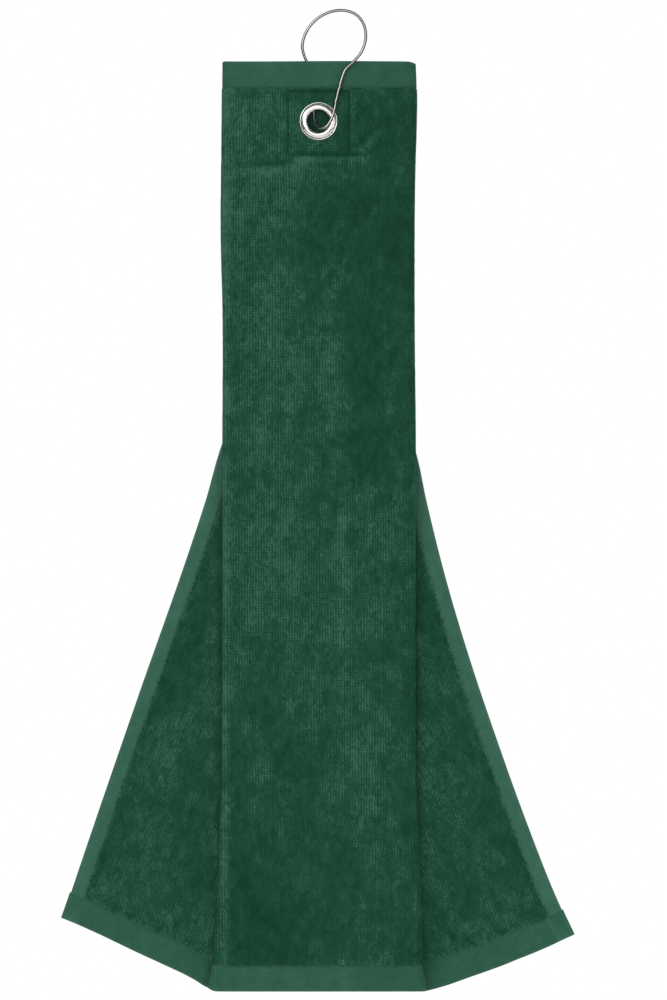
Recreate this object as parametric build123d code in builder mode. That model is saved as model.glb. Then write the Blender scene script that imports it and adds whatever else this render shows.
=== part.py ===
from build123d import *
from math import radians, tan
import os

# A 16 x 25 inch golf towel folded in thirds lengthways, hanging by its grommet from a bent wire bag hook.
# Millimetres. +Z is up, the towel's face looks towards -Y, and X runs from its left to its right.
# The origin is the inside top of the hook's big loop, where the ring of a golf bag carries it.
# Cloth outlines are given as (across, up): across from the towel's centre line and up from its top edge.

os.makedirs("parts", exist_ok=True)

# Where the folded towel hangs under the origin
towel_x = -14.4
towel_top = -34.6
towel_length = 639.5

# Cloth and hems
cloth_thickness = 2.2
hem_thickness = 1.8
top_hem_height = 19
bottom_hem_top = -621
thread_width = 0.6
thread_height = 0.2
stitch_inset = 1.5

# Depth of each layer's front face, from the front panel backwards
layer_gap = 0.3
front_face = -cloth_thickness / 2
left_inner_face = 5.5
left_flap_face = left_inner_face + cloth_thickness + layer_gap
right_inner_face = left_flap_face + cloth_thickness + layer_gap
right_flap_face = right_inner_face + cloth_thickness + layer_gap

# The two long creases: half width of the folded towel at each height, flaring towards the bottom
crease_line = [(66.6, 0), (66.6, -480), (69.6, -565), (73.2, bottom_hem_top), (74.3, -towel_length)]
left_fold_radius = (left_inner_face + cloth_thickness - front_face) / 2
right_fold_radius = (right_inner_face + cloth_thickness - front_face) / 2

# Behind the front, each side panel runs to a slanting fold and comes back out as a wing.
# These points are for the right side, and the left side is their mirror image.
slant_top = (-58, 0)
slant_under_hem = (-54.7, -top_hem_height)
slant_bottom = (52, -towel_length)
slant_strip_width = 3
side_hem_inner_top = (-52, -34)
hidden_edge = 66.9
wing_edge = 67.2

# Wing outlines, outwards from the centre line. Both edges of a hem run from the top or the crease outwards.
left_side_edge = [(wing_edge, -261), (92.9, -343.8), (119.2, -422), (143, -491), (170, -570)]
left_side_seam = [(wing_edge, -290), (88.8, -360), (109.3, -425), (131, -487), (148.3, -537.5), (161, -574.3)]
left_bottom_edge = [(wing_edge, -639), (92.4, -629.4), (128.9, -613.4), (177, -588.8)]
left_bottom_seam = [(wing_edge, -616), (86.8, -610.5), (112.1, -599.2), (138.8, -583.8), (161, -574.3)]
right_side_edge = [(wing_edge, -271), (83.2, -334.8), (108.8, -425.2), (135.5, -496.8), (168.8, -583.5)]
right_side_seam = [(wing_edge, -300), (82.4, -361), (99.7, -425.2), (122.9, -495.4), (146.7, -560), (157.5, -586)]
right_bottom_edge = [(wing_edge, -639.3), (99, -630.9), (127.1, -620.3), (159.3, -609.1), (175.2, -599.7)]
right_bottom_seam = [(wing_edge, -621), (84.9, -614.7), (113, -602.8), (135.5, -595.8), (157.5, -586)]

# Grommet and the patch sewn behind it
grommet_across = -0.3
grommet_up = -40.6
throat_radius = 7.4
barrel_radius = 8.0
barrel_hole_radius = 8.1
flange_radius = 13.0
flange_height = 1.3
flange_lip = 0.25
flange_crown_inner = 8.9
flange_crown_outer = 11.4
patch_thickness = 0.6
patch_width = 42
patch_height = 43.5
patch_up = -42.4
patch_stitch_inset = 2.5
washer_radius = 12.0
washer_thickness = 0.5
rolled_end_radius = 9.6

# Bag hook wire: (across, depth, up) from its tip behind the patch, through the grommet, up the front,
# round the big loop and down behind the top hem
wire_radius = 1.0
front_leg = -3.8
back_leg = 4.1
hook_route = [
    (-4.4, back_leg, -22.5),
    (-3.9, back_leg, -29.5),
    (-3.6, 3.8, -35.0),
    (-3.3, 2.4, -39.0),
    (-2.5, 0.8, -42.4),
    (-0.8, -1.0, -45.0),
    (1.9, -2.7, -45.7),
    (5.0, front_leg, -44.8),
    (8.2, front_leg, -40.5),
    (10.3, front_leg, -34.5),
    (11.8, front_leg, -27.0),
    (13.8, front_leg, -17.5),
    (16.0, front_leg, -9.5),
    (19.2, front_leg, -3.6),
    (24.6, front_leg, 0.6),
    (29.6, front_leg, 6.9),
    (32.5, front_leg, 15.5),
    (31.9, front_leg, 24.5),
    (26.8, -2.6, 32.5),
    (18.0, -0.6, 35.9),
    (8.0, 1.6, 35.2),
    (-2.1, 3.4, 29.9),
    (-9.2, back_leg, 21.2),
    (-12.2, back_leg, 10.8),
    (-9.0, back_leg, 1.2),
    (-4.2, back_leg, -9.0),
]


def towel_plane(depth):
    """The plane of a cloth layer: its axes run across and up, and it extrudes towards the front."""
    return Plane(origin=(towel_x, depth, towel_top), x_dir=(1, 0, 0), z_dir=(0, -1, 0))


def sided(points, side):
    """Outline points of the right side as they are (side 1), or mirrored to the left side (side -1)."""
    return [(side * across, up) for across, up in points]


def cloth_piece(name, outline, front, thickness):
    """A flat stretch of cloth or hem with the given outline, its front face at the given depth."""
    with BuildPart() as piece:
        with BuildSketch(towel_plane(front + thickness)):
            with BuildLine():
                Polyline(*outline, close=True)
            make_face()
        extrude(amount=thickness)
    piece.part.label = name
    export_step(piece.part, f"parts/{name}.step")


def hem_piece(name, outline, layer_front):
    """A hem, a little thinner than the pile cloth and centred in the depth of its layer."""
    cloth_piece(name, outline, layer_front + (cloth_thickness - hem_thickness) / 2, hem_thickness)


def stitching(name, lines, layer_front):
    """Sewing thread lying on the front of the hems of one layer, along each of the given lines."""
    hem_front = layer_front + (cloth_thickness - hem_thickness) / 2
    with BuildPart() as thread:
        with BuildSketch(towel_plane(hem_front)):
            for line in lines:
                with BuildLine():
                    Polyline(*line)
                trace(line_width=thread_width)
        extrude(amount=thread_height)
    thread.part.label = name
    export_step(thread.part, f"parts/{name}.step")


def crease_fold(name, side, radius):
    """The cloth bending from the front panel round a long crease to the side panel behind it."""
    inner_radius = radius - cloth_thickness
    with BuildPart() as fold:
        for half_width, up in crease_line:
            centre = (towel_x + side * (half_width - radius), front_face + radius, towel_top + up)
            with BuildSketch(Plane(origin=centre)):
                with BuildLine():
                    ThreePointArc((0, -radius), (side * radius, 0), (0, radius))
                    Line((0, radius), (0, inner_radius))
                    ThreePointArc((0, inner_radius), (side * inner_radius, 0), (0, -inner_radius))
                    Line((0, -inner_radius), (0, -radius))
                make_face()
        loft(ruled=True)
    fold.part.label = name
    export_step(fold.part, f"parts/{name}.step")


def side_panel(name, side, radius, inner_face, seam_exit):
    """A side panel behind the front: the inner part, its slanting fold and the start of the outer flap."""
    inner = [(half_width - radius, up) for half_width, up in crease_line]
    inner[0] = (inner[0][0], -top_hem_height)
    inner += [slant_bottom, slant_under_hem]
    strip_top = side_hem_inner_top
    strip = [
        strip_top,
        slant_bottom,
        (slant_bottom[0] + slant_strip_width, slant_bottom[1]),
        (strip_top[0] + slant_strip_width, strip_top[1]),
    ]
    flap = [strip_top, (hidden_edge, seam_exit), (hidden_edge, -towel_length), slant_bottom]
    flap_face = inner_face + cloth_thickness + layer_gap
    with BuildPart() as panel:
        for outline, front, thickness in (
            (inner, inner_face, cloth_thickness),
            (strip, inner_face + cloth_thickness, layer_gap),
            (flap, flap_face, cloth_thickness),
        ):
            with BuildSketch(towel_plane(front + thickness)):
                with BuildLine():
                    Polyline(*sided(outline, side), close=True)
                make_face()
            extrude(amount=thickness)
    panel.part.label = name
    export_step(panel.part, f"parts/{name}.step")


def wing(name, side, flap_face, side_edge, side_seam, bottom_edge, bottom_seam):
    """The part of a flap that shows beside the front panel, with its two hems and their stitching."""
    edge, seam = sided(side_edge, side), sided(side_seam, side)
    low_edge, low_seam = sided(bottom_edge, side), sided(bottom_seam, side)
    cloth_piece(f"{name}_panel", seam + low_seam[-2::-1], flap_face, cloth_thickness)
    hem_piece(f"{name}_side_hem", edge + seam[::-1], flap_face)
    hem_piece(f"{name}_bottom_hem", low_edge + [edge[-1]] + low_seam[::-1], flap_face)
    side_line = [(across + side * stitch_inset, up) for across, up in seam[1:-1]]
    bottom_line = [(across, up - stitch_inset) for across, up in low_seam[:-1]]
    stitching(f"{name}_stitching", [side_line, bottom_line], flap_face)


def front_edges(top, bottom):
    """The front panel between its two crease folds, from one height down to another."""
    rows = [(width, up) for width, up in crease_line if bottom <= up <= top]
    if rows[0][1] != top:
        rows.insert(0, (rows[0][0], top))
    left = [(left_fold_radius - width, up) for width, up in rows]
    right = [(width - right_fold_radius, up) for width, up in rows]
    return left + right[::-1]


def tangent_radii(route):
    """Bend radius at each corner of a wire route, as large as the runs beside it allow."""
    share_of_run = 0.45
    radii = []
    for before, here, after in zip(route, route[1:], route[2:]):
        run_in, run_out = Vector(*here) - Vector(*before), Vector(*after) - Vector(*here)
        half_turn = radians(run_in.get_angle(run_out)) / 2
        radii.append(share_of_run * min(run_in.length, run_out.length) / tan(half_turn))
    return radii


# Front of the towel
with BuildPart() as center_panel:
    with BuildSketch(towel_plane(front_face + cloth_thickness)):
        with BuildLine():
            Polyline(*front_edges(-top_hem_height, bottom_hem_top), close=True)
        make_face()
        with Locations((grommet_across, grommet_up)):
            Circle(barrel_hole_radius, mode=Mode.SUBTRACT)
    extrude(amount=cloth_thickness)
center_panel.part.label = "center_panel"
export_step(center_panel.part, "parts/center_panel.step")

top_hem_rows = [(crease_line[0][0], 0), (crease_line[0][0], -top_hem_height)]
top_hem_left = [(left_fold_radius - width, up) for width, up in top_hem_rows]
top_hem_right = [(width - right_fold_radius, up) for width, up in top_hem_rows]
hem_piece("center_top_hem", top_hem_left + top_hem_right[::-1], front_face)
hem_piece("center_bottom_hem", front_edges(bottom_hem_top, -towel_length), front_face)
for place, up, side in (("top", -top_hem_height, 1), ("bottom", bottom_hem_top, -1)):
    line = [(left_fold_radius - crease_line[0][0], up + side * stitch_inset)]
    line += [(crease_line[0][0] - right_fold_radius, up + side * stitch_inset)]
    stitching(f"{place}_hem_stitching", [line], front_face)

crease_fold("left_crease_fold", -1, left_fold_radius)
crease_fold("right_crease_fold", 1, right_fold_radius)

# Side panels folded behind the front, with the hems that stay hidden there
for place, side, radius, inner_face, edge_exit, seam_exit in (
    ("left", -1, left_fold_radius, left_inner_face, left_side_edge[0][1], left_side_seam[0][1]),
    ("right", 1, right_fold_radius, right_inner_face, right_side_edge[0][1], right_side_seam[0][1]),
):
    side_panel(f"{place}_side_panel", side, radius, inner_face, seam_exit)
    crease = crease_line[0][0] - radius
    top_hem = [(crease, 0), slant_top, slant_under_hem, (crease, -top_hem_height)]
    hem_piece(f"{place}_panel_top_hem", sided(top_hem, side), inner_face)
    side_hem = [slant_top, (hidden_edge, edge_exit), (hidden_edge, seam_exit), side_hem_inner_top]
    hem_piece(f"{place}_hidden_side_hem", sided(side_hem, side), inner_face + cloth_thickness + layer_gap)

# Wings
wing("left_wing", -1, left_flap_face, left_side_edge, left_side_seam, left_bottom_edge, left_bottom_seam)
wing("right_wing", 1, right_flap_face, right_side_edge, right_side_seam, right_bottom_edge, right_bottom_seam)

# Patch behind the grommet
patch_face = front_face + cloth_thickness
with BuildPart() as reinforcement_patch:
    with BuildSketch(towel_plane(patch_face + patch_thickness)):
        with Locations((grommet_across, patch_up)):
            Rectangle(patch_width, patch_height)
        with Locations((grommet_across, grommet_up)):
            Circle(barrel_hole_radius, mode=Mode.SUBTRACT)
    extrude(amount=patch_thickness)
reinforcement_patch.part.label = "reinforcement_patch"
export_step(reinforcement_patch.part, "parts/reinforcement_patch.step")

patch_back = patch_face + patch_thickness
seam_width, seam_height = patch_width - 2 * patch_stitch_inset, patch_height - 2 * patch_stitch_inset
with BuildPart() as patch_stitching:
    with BuildSketch(towel_plane(patch_back + thread_height)):
        with Locations((grommet_across, patch_up)):
            Rectangle(seam_width, seam_height)
            Rectangle(seam_width - 2 * thread_width, seam_height - 2 * thread_width, mode=Mode.SUBTRACT)
    extrude(amount=thread_height)
patch_stitching.part.label = "patch_stitching"
export_step(patch_stitching.part, "parts/patch_stitching.step")

# Grommet: the eyelet goes through the cloth and is rolled over the washer behind the patch
grommet_centre = (towel_x + grommet_across, 0, towel_top + grommet_up)
grommet_axis = Axis(grommet_centre, (0, 1, 0))
washer_back = patch_back + washer_thickness
crown_depth = front_face - flange_height
throat_depth = front_face - flange_lip
rolled_depth = washer_back + washer_thickness
with BuildPart() as grommet_eyelet:
    with BuildSketch(Plane(origin=grommet_centre)):
        with BuildLine():
            Line((throat_radius, rolled_depth), (throat_radius, throat_depth))
            Spline(
                (throat_radius, throat_depth),
                (flange_crown_inner, crown_depth),
                tangents=((0, -1), (1, 0)),
            )
            Line((flange_crown_inner, crown_depth), (flange_crown_outer, crown_depth))
            Line((flange_crown_outer, crown_depth), (flange_radius, front_face - flange_lip))
            Line((flange_radius, front_face - flange_lip), (flange_radius, front_face))
            Line((flange_radius, front_face), (barrel_radius, front_face))
            Line((barrel_radius, front_face), (barrel_radius, washer_back))
            Line((barrel_radius, washer_back), (rolled_end_radius, washer_back))
            Line((rolled_end_radius, washer_back), (rolled_end_radius, rolled_depth))
            Line((rolled_end_radius, rolled_depth), (throat_radius, rolled_depth))
        make_face()
    revolve(axis=grommet_axis)
grommet_eyelet.part.label = "grommet_eyelet"
export_step(grommet_eyelet.part, "parts/grommet_eyelet.step")

with BuildPart() as grommet_washer:
    with BuildSketch(towel_plane(washer_back)):
        with Locations((grommet_across, grommet_up)):
            Circle(washer_radius)
            Circle(barrel_hole_radius, mode=Mode.SUBTRACT)
    extrude(amount=washer_thickness)
grommet_washer.part.label = "grommet_washer"
export_step(grommet_washer.part, "parts/grommet_washer.step")

# Bag hook
hook_points = [(towel_x + across, depth, towel_top + up) for across, depth, up in hook_route]
bend_radii = tangent_radii(hook_points)
print("hook bend radii", [round(radius, 1) for radius in bend_radii])
with BuildPart() as hook_wire:
    with BuildLine() as hook_line:
        FilletPolyline(*hook_points, radius=bend_radii)
    with BuildSketch(Plane(origin=hook_line.line @ 0, z_dir=hook_line.line % 0)):
        Circle(wire_radius)
    sweep()
hook_wire.part.label = "hook_wire"
export_step(hook_wire.part, "parts/hook_wire.step")
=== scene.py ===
import math

import bmesh
import bpy
import numpy as np
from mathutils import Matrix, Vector


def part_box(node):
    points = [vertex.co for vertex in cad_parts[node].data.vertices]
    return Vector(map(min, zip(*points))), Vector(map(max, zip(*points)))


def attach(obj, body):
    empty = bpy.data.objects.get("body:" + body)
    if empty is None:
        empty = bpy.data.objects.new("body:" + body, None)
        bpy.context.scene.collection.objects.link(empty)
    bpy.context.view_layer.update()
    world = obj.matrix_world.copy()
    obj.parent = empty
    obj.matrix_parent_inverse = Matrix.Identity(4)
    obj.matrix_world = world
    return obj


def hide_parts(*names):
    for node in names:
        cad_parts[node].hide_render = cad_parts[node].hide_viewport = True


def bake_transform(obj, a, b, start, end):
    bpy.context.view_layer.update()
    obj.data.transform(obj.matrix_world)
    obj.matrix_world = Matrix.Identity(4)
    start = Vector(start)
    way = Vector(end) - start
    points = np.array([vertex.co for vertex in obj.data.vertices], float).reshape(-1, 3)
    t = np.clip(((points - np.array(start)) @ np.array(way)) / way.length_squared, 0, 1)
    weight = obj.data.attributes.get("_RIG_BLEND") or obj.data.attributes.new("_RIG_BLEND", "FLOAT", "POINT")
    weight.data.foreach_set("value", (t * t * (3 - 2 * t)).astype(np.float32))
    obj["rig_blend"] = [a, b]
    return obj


# Golf towel folded in thirds, hanging by its grommet from a wire bag hook.
# Shapes are worked out in millimetres as (across, depth, up) from the middle of the towel's top edge,
# and placed in the frame by at(). Cloth coordinates (s, t) run across the cloth and down from its top edge.

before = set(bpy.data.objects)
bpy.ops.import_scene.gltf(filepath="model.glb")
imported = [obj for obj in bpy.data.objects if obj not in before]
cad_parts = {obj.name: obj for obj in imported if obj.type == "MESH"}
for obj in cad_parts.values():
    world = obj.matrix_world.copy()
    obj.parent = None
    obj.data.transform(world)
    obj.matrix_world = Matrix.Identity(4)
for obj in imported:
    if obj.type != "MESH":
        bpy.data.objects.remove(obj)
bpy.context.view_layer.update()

MM = 0.001
GROMMET_ACROSS = -0.3


def node_mm(node):
    """A CAD node's lowest and highest corner in millimetres."""
    low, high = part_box(node)
    return np.array(low) / MM, np.array(high) / MM


def middle_depth(node):
    low, high = node_mm(node)
    return (low[1] + high[1]) / 2


eyelet_low, eyelet_high = node_mm("grommet_eyelet")
TOWEL_X = (eyelet_low[0] + eyelet_high[0]) / 2 - GROMMET_ACROSS
TOWEL_TOP = node_mm("center_top_hem")[1][2]
LENGTH = TOWEL_TOP - node_mm("center_bottom_hem")[0][2]
GROMMET_UP = (eyelet_low[2] + eyelet_high[2]) / 2 - TOWEL_TOP
TOP_HEM = TOWEL_TOP - node_mm("center_top_hem")[0][2]
BOTTOM_HEM = TOWEL_TOP - node_mm("center_bottom_hem")[1][2]

# Middle depth of each layer of cloth; -1 is the left side and 1 the right
FRONT = middle_depth("center_panel")
INNER = {-1: middle_depth("left_panel_top_hem"), 1: middle_depth("right_panel_top_hem")}
FLAP = {-1: middle_depth("left_wing_panel"), 1: middle_depth("right_wing_panel")}
NAMES = {-1: "left", 1: "right"}

# Half thickness of pile cloth and of flat hem
PILE = 1.15
HEM = 0.85

# Half width of the folded towel down its length, as (distance down, half width), for each side
CREASE = {
    -1: [(0, 66.8), (60, 67.3), (110, 67.8), (180, 66.4), (260, 66.6), (430, 66.8), (495, 67.3),
         (540, 68.6), (580, 70.4), (610, 72.6), (622, 74.0), (LENGTH, 77.4)],
    1: [(0, 67.0), (14, 67.5), (90, 66.2), (180, 66.0), (260, 66.8), (425, 66.6), (500, 67.2),
        (550, 69.5), (580, 70.6), (610, 71.0), (622, 71.8), (LENGTH, 75.6)],
}
# Outer hem edge and bottom edge of each flap, outwards from the centre line, starting at the hidden top corner
HEM_EDGE = {
    -1: [(-58, 0), (4, -130), (52, -230), (66.5, -262), (78.4, -302.7), (87.4, -330.2), (125.9, -440.3),
         (163.7, -550.4), (170.3, -570), (176.8, -588.7)],
    1: [(-58, 0), (2, -128), (50, -228), (66.4, -267), (74.3, -302.7), (88.1, -357.8), (104.6, -412.8),
        (123.2, -467.8), (143.1, -522.9), (165.1, -577.9), (175.4, -599.7)],
}
BOTTOM_EDGE = {
    -1: [(176.8, -588.9), (165.8, -593.8), (150.7, -600.6), (128.7, -611.2), (106.6, -621.4), (92, -628.3),
         (84.6, -632.4), (79, -636.0), (72, -638.8), (52, -639.4)],
    1: [(175.4, -600.5), (160.3, -608.0), (149.3, -612.8), (138.3, -617.2), (127.3, -621.7), (105.3, -629.6),
        (83.2, -637.2), (75, -639.3), (52, -639.4)],
}
# The hidden fold at the inner edge of each flap, outwards from the centre line
SLANT = [(-58, 0), (52, -639.5)]
SIDE_HEM = {-1: 10.6, 1: 11.0}
# How far the pile overlaps the hems
OVERLAP = 0.5
# Spread of a row of tufts, and how far the roots of the fibres are from the middle of the cloth
ROW_SPREAD, ROOT = 1.2, 0.75

# Pitches of the weave
RIB_PITCH, ROW_PITCH = 1.91, 1.84
TWILL_PITCH, HEM_RIB_PITCH = 1.95, 2.06

# Columns of vertices in the cloth behind the front on each side, and round the left and right creases
HIDDEN, LEFT_TURN, RIGHT_TURN = 17, 11, 13
# Rows and columns near the edges of a cloth are closer together: width of that strip, and their pitch
EDGE_STRIP, EDGE_PITCH = 1.2, 0.4
# Pitch of the rows elsewhere in hems
HEM_PITCH = 1.5
# How far in from its edges a cloth gets thinner
ROUNDING = 0.9


# ---------- shapes ----------

def at(across, depth, up):
    """Row frame position in metres, as an array whose last axis is x, y, z."""
    return np.stack(np.broadcast_arrays(TOWEL_X + across, depth, TOWEL_TOP + up), axis=-1) * MM


def unit(vectors):
    return vectors / np.maximum(np.linalg.norm(vectors, axis=-1, keepdims=True), 1e-12)


def lengths_along(points):
    """Distance of each point from the first, along the line through all of them."""
    return np.concatenate([[0], np.cumsum(np.linalg.norm(np.diff(points, axis=0), axis=1))])


def hermite(f, a, b, slope_a, slope_b):
    """A smooth way from a to b as f goes from 0 to 1, with slopes at both ends."""
    return ((2 * f**3 - 3 * f**2 + 1) * a + (f**3 - 2 * f**2 + f) * slope_a
            + (3 * f**2 - 2 * f**3) * b + (f**3 - f**2) * slope_b)


def through(points, q):
    """A smooth curve through points, at shares q (0 to 1) of its length."""
    p = np.array(points, float)
    length = lengths_along(p)
    slope = np.gradient(p, length, axis=0)
    x = np.clip(np.asarray(q, float), 0, 1) * length[-1]
    k = np.clip(np.searchsorted(length, x, side="right") - 1, 0, len(p) - 2)
    span = (length[k + 1] - length[k])[..., None]
    f = (x - length[k])[..., None] / span
    return hermite(f, p[k], p[k + 1], slope[k] * span, slope[k + 1] * span)


def table(points, x):
    """A smooth function through (x, value) points."""
    xs, ys = np.array(points, float).T
    slope = np.gradient(ys, xs)
    x = np.clip(x, xs[0], xs[-1])
    k = np.clip(np.searchsorted(xs, x, side="right") - 1, 0, len(xs) - 2)
    span = xs[k + 1] - xs[k]
    return hermite((x - xs[k]) / span, ys[k], ys[k + 1], slope[k] * span, slope[k + 1] * span)


def lattice(i, j, seed):
    """A repeatable random number from -1 to 1 for each lattice point."""
    h = (i.astype(np.int64) * 374761393 + j.astype(np.int64) * 668265263 + seed * 974634777) & 0xFFFFFFFF
    h = ((h ^ (h >> 13)) * 1274126177) & 0xFFFFFFFF
    return ((h ^ (h >> 16)) & 0xFFFF) / 32767.5 - 1


def smooth_noise(u, v, seed):
    """Noise from -1 to 1 with patches about 1 across."""
    i, j = np.floor(u), np.floor(v)
    fu, fv = u - i, v - j
    fu, fv = fu * fu * (3 - 2 * fu), fv * fv * (3 - 2 * fv)
    low = lattice(i, j, seed) * (1 - fu) + lattice(i + 1, j, seed) * fu
    high = lattice(i, j + 1, seed) * (1 - fu) + lattice(i + 1, j + 1, seed) * fu
    return low * (1 - fv) + high * fv


def fractal(x, y, cell, seed, octaves=4, keep=0.55):
    """Layers of smooth_noise, the first with patches of about one cell (wide, tall), and each one after it with
    patches half as big and keep times as strong."""
    total, strength, weight = 0, 1.0, 0.0
    x, y = x / cell[0], y / cell[1]
    for k in range(octaves):
        # each layer is turned a little, so that the lattice doesn't show
        c, s = math.cos(0.5 + 1.1 * k), math.sin(0.5 + 1.1 * k)
        finer = 2.0**k
        total = total + strength * smooth_noise((x * c - y * s) * finer, (x * s + y * c) * finer, seed + k)
        weight += strength
        strength *= keep
    return total / weight


def step(x, low, high):
    """0 below low, 1 above high, smooth between."""
    f = np.clip((x - low) / (high - low), 0, 1)
    return f * f * (3 - 2 * f)


def fall(x, low, high):
    return 1 - step(x, low, high)


def window(x, low, high, soft=1):
    """1 between low and high, 0 outside, smooth over soft to each side of them."""
    return step(x, low - soft, low + soft) * fall(x, high - soft, high + soft)


def ridge(distance, width):
    return np.exp(-((distance / width) ** 2))


def spaced(start, end, pitch, fine=()):
    """Values from start to end about a pitch apart, and closer within each (low, high, pitch) of fine."""
    values = [start]
    while values[-1] < end - 1e-6:
        here = values[-1]
        near = [p for low, high, p in fine if low - 1e-6 <= here < high]
        values.append(min(end, here + min([pitch, *near])))
    if len(values) > 2 and values[-1] - values[-2] < 0.3 * (values[-2] - values[-3]):
        del values[-2]
    return np.array(values)


def fine_start(low):
    return (low, low + EDGE_STRIP, EDGE_PITCH)


def fine_end(high):
    return (high - EDGE_STRIP, high, EDGE_PITCH)


def rounded_edge(distance):
    """Share of the full thickness at a distance from the edge of the cloth."""
    return np.sqrt(np.clip(1 - (1 - np.clip(distance / ROUNDING, 0, 1)) ** 2, 0.05, 1))


def scene_object(name, data):
    piece = bpy.data.objects.new(name, data)
    bpy.context.scene.collection.objects.link(piece)
    return piece


def mesh_object(name, verts, faces, material):
    mesh = bpy.data.meshes.new(name)
    mesh.from_pydata(verts, [], faces)
    mesh.validate(clean_customdata=False)
    mesh.update()
    mesh.materials.append(material)
    mesh.shade_smooth()
    return scene_object(name, mesh)


def store_cloth(piece, s, t, back, nap_and_shading):
    """Keeps each vertex's cloth coordinates, back (1 on the back of the cloth) and nap, with its painted light
    and shade, for the materials.
    """
    weave = np.stack([s * MM, t * MM, back], axis=-1)
    attributes = piece.data.attributes
    attributes.new("weave", "FLOAT_VECTOR", "POINT").data.foreach_set("vector", weave.ravel())
    attributes.new("nap_and_shading", "FLOAT", "POINT").data.foreach_set("value", nap_and_shading.astype(np.float32))


def cloth_mesh(name, middle, front, back, weave, nap_and_shading, material, outward):
    """A closed cloth from its middle surface (rows down, columns across), its half thickness to the front and
    back and, for each point, its cloth coordinates and nap with its painted light and shade. outward is the
    direction that the face of the cloth looks in halfway down its first column."""
    rows, cols = middle.shape[:2]
    normal = unit(np.cross(np.gradient(middle, axis=0), np.gradient(middle, axis=1)))
    flipped = normal[rows // 2, 0] @ np.array(outward) < 0
    if flipped:
        normal = -normal
    top = middle + normal * (front * MM)[..., None]
    under = middle - normal * (back * MM)[..., None]
    verts = np.concatenate([top.reshape(-1, 3), under.reshape(-1, 3)])
    grid = np.arange(rows * cols).reshape(rows, cols)
    a, b, c, d = grid[:-1, :-1], grid[1:, :-1], grid[1:, 1:], grid[:-1, 1:]
    face = np.stack([a, b, c, d], axis=-1).reshape(-1, 4)
    other = np.stack([a, d, c, b], axis=-1).reshape(-1, 4) + rows * cols
    loop = np.concatenate([grid[0, :-1], grid[:-1, -1], grid[-1, :0:-1], grid[:0:-1, 0]])
    after = np.roll(loop, -1)
    rim = np.stack([loop, after, after + rows * cols, loop + rows * cols], axis=-1)
    faces = np.concatenate([face, other, rim])
    if flipped:
        faces = faces[:, ::-1]
    piece = mesh_object(name, verts, faces.tolist(), material)
    s, t, nap_and_shading = (np.tile(values.ravel(), 2) for values in (*weave, nap_and_shading))
    store_cloth(piece, s, t, np.repeat((0.0, 1.0), rows * cols), nap_and_shading)
    return piece


# ---------- the front third and what is folded behind it ----------

def face_columns(pitch, fine=()):
    """Places of the columns of vertices on the front face, from 0 at its left end to 1."""
    values = spaced(-62.2, 59.7, pitch, fine)
    return (values - values[0]) / (values[-1] - values[0])


def front_path(t, columns):
    """One row of the front cloth at distance t down, from the left hidden fold, round the left crease, over the
    front, round the right crease and behind: (across, depth, s, 1 on the front face)."""
    radius = {side: (INNER[side] - FRONT) / 2 for side in NAMES}
    bend = {side: side * (float(table(CREASE[side], t)) - PILE - radius[side]) for side in NAMES}
    slant = SLANT[0][0] + (SLANT[1][0] - SLANT[0][0]) * t / LENGTH
    hidden = np.linspace(0, 1, HIDDEN + 1)[:-1]
    left_turn = np.linspace(math.pi / 2, 3 * math.pi / 2, LEFT_TURN + 1)[:-1]
    right_turn = np.linspace(-math.pi / 2, math.pi / 2, RIGHT_TURN + 1)[1:]
    across = np.concatenate([
        -slant + (bend[-1] + slant) * hidden,
        bend[-1] + radius[-1] * np.cos(left_turn),
        bend[-1] + (bend[1] - bend[-1]) * columns,
        bend[1] + radius[1] * np.cos(right_turn),
        bend[1] + (slant - bend[1]) * (1 - hidden[::-1]),
    ])
    depth = np.concatenate([
        np.full(HIDDEN, INNER[-1]),
        FRONT + radius[-1] + radius[-1] * np.sin(left_turn),
        np.full(len(columns), FRONT),
        FRONT + radius[1] + radius[1] * np.sin(right_turn),
        np.full(HIDDEN, INNER[1]),
    ])
    face = slice(HIDDEN + LEFT_TURN, HIDDEN + LEFT_TURN + len(columns))
    on_face = np.zeros(len(across))
    on_face[face] = 1
    along = lengths_along(np.stack([across, depth], axis=1))
    return across, depth, along - np.interp(0, across[face], along[face]), on_face


def front_waves(across, t):
    """How far the front face stands forward of flat. It never goes back into the layers behind."""
    free = step(across, -62, -44) * fall(across, 42, 60)
    near_hook = 1 - ridge(across - 2, 34) * fall(t, 60, 95)
    soft = 0.9 + 0.9 * fractal(across, t, (55, 110), 11, 3)
    ripple = 0.35 * fractal(across, t, (14, 40), 12, 3)
    return np.maximum((soft + ripple) * free * near_hook, 0)


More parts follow.
